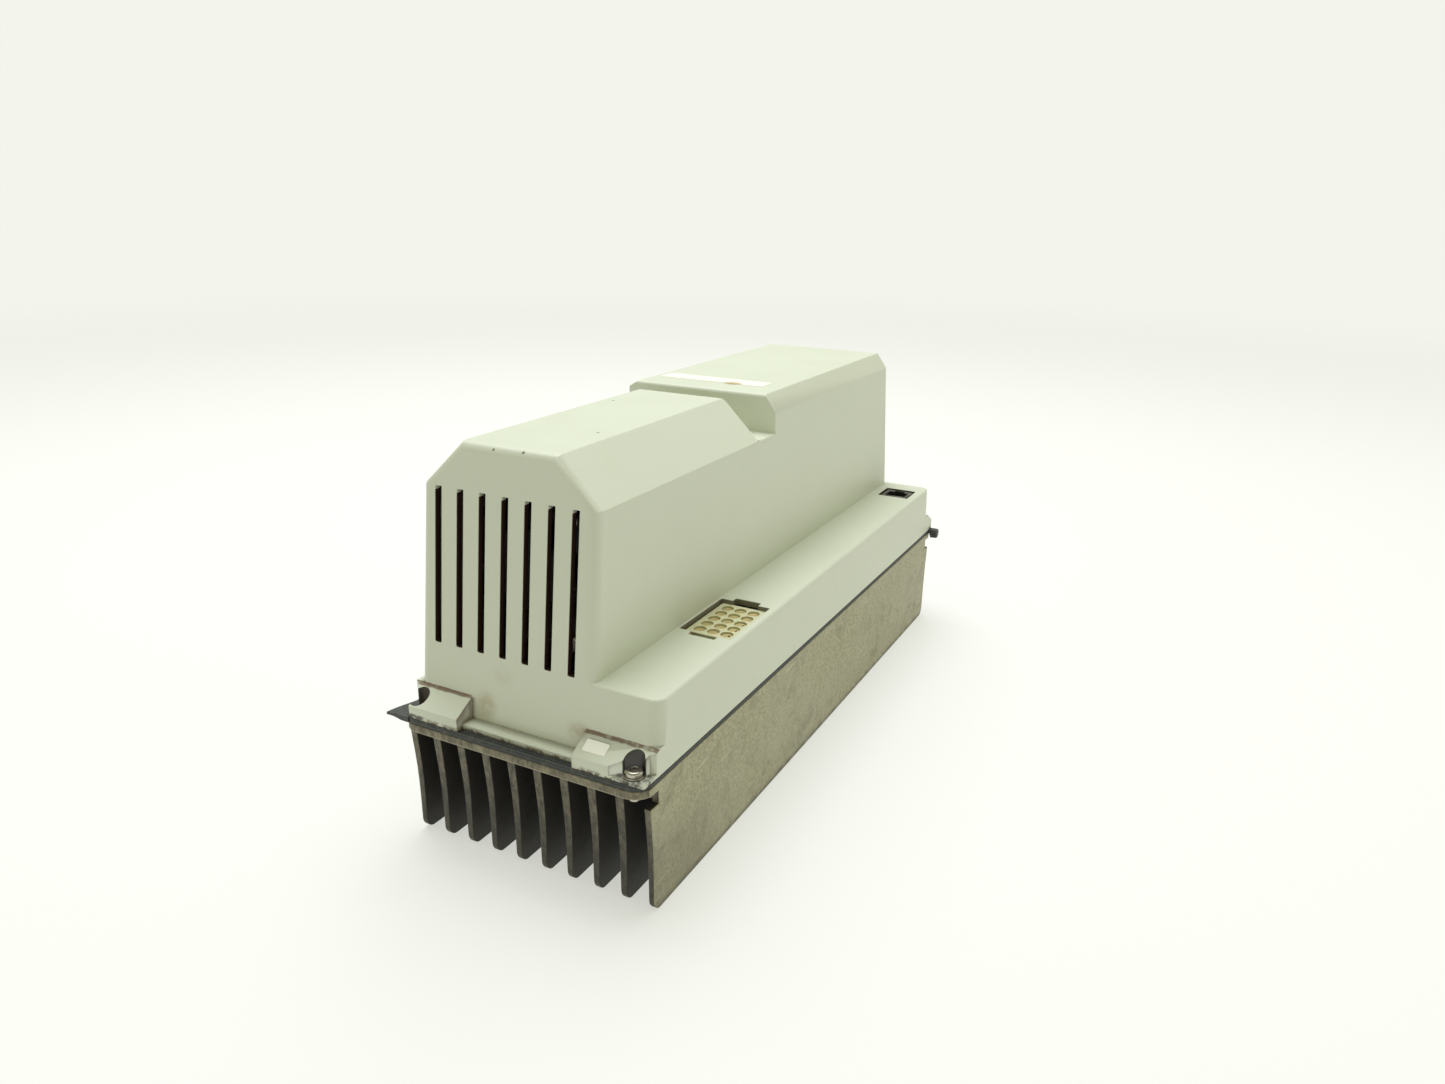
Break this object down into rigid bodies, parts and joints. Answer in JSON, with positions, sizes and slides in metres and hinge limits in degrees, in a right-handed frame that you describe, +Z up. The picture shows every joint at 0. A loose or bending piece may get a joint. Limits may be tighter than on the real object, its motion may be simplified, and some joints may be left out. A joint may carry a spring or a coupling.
{
  "type": "variable frequency drive",
  "caption": "Motor drive with a finned heatsink under a grey-green moulded hood, a power socket in its side ledge and a cooling fan behind the vented end.",
  "frame": {"origin": "on the plane of the fin tips, under the middle of the heatsink flange", "axes": "+Z up from the fins to the roof, -Y the vented front with the fan, +X the side with the low ledge and its sockets"},
  "size_m": [0.1283, 0.352, 0.169],
  "materials": {
    "bearing_steel": "ground",
    "black_plastic": "moulded",
    "blue_sleeve": "shrunk sleeve",
    "brass": "bare",
    "circuit_board": "green solder mask",
    "copper": "bare or enamelled copper",
    "cream_nylon": "natural nylon",
    "fan_plastic": "glass filled",
    "ferrite": "sintered",
    "galvanised": "galvanised sheet",
    "grey_box": "filled plastic box",
    "grey_ribbon": "flat cable",
    "grey_rubber": "matt",
    "grey_silicone": "soft pad",
    "hood_plastic": "light grey-green, slightly yellowed",
    "plated_steel": "zinc plated",
    "raw_aluminium": "machined side, dull oxidised fins",
    "relay_blue": "moulded",
    "tinned_brass": "turned",
    "white_paper": "matt sticker",
    "white_plastic": "moulded",
    "yellow_tape": "wound tape"
  },
  "bodies": {
    "drive": {"board_posts": "brass", "board_screws": "plated_steel", "bracket_screws": "plated_steel", "choke_base": "black_plastic", "choke_core": "ferrite", "choke_turns": "copper", "control_board": "circuit_board", "control_chips": "black_plastic", "control_posts": "brass", "control_screws": "plated_steel", "cover": "hood_plastic", "cover_screws": "plated_steel", "cover_washers": "plated_steel", "current_sensors": "black_plastic", "fan_bearings": "bearing_steel", "fan_bracket": "galvanised", "fan_coils": "copper", "fan_frame": "fan_plastic", "fan_lead": "black_plastic", "fan_nuts": "plated_steel", "fan_plug": "white_plastic", "fan_screws": "plated_steel", "fan_stator": "galvanised", "film_capacitors": "grey_box", "foot_label": "white_paper", "gasket": "grey_rubber", "heatsink": "raw_aluminium", "inverter_case": "black_plastic", "inverter_pins": "copper", "inverter_plate": "copper", "inverter_screws": "plated_steel", "link_capacitors": "blue_sleeve", "lower_header": "black_plastic", "power_board": "circuit_board", "power_contacts": "tinned_brass", "power_socket": "cream_nylon", "precharge_relay": "relay_blue", "rectifier_case": "black_plastic", "rectifier_pins": "copper", "rectifier_plate": "copper", "rectifier_screws": "plated_steel", "ribbon_cable": "grey_ribbon", "roof_label": "white_paper", "service_contacts": "brass", "service_jack": "black_plastic", "thermal_pads": "grey_silicone", "thermistor": "black_plastic", "thermistor_screw": "plated_steel", "transformer_bobbin": "yellow_tape", "transformer_core": "ferrite", "upper_header": "black_plastic"},
    "fan_rotor": {"fan_impeller": "fan_plastic", "fan_magnet": "ferrite", "fan_shaft": "bearing_steel"}
  },
  "joints": [
    {"name": "fan_spin", "type": "hinge", "parent": "drive", "child": "fan_rotor", "pos_m": [-0.01287, -0.1375, 0.119], "axis": [0, 1, 0], "continuous": true}
  ]
}
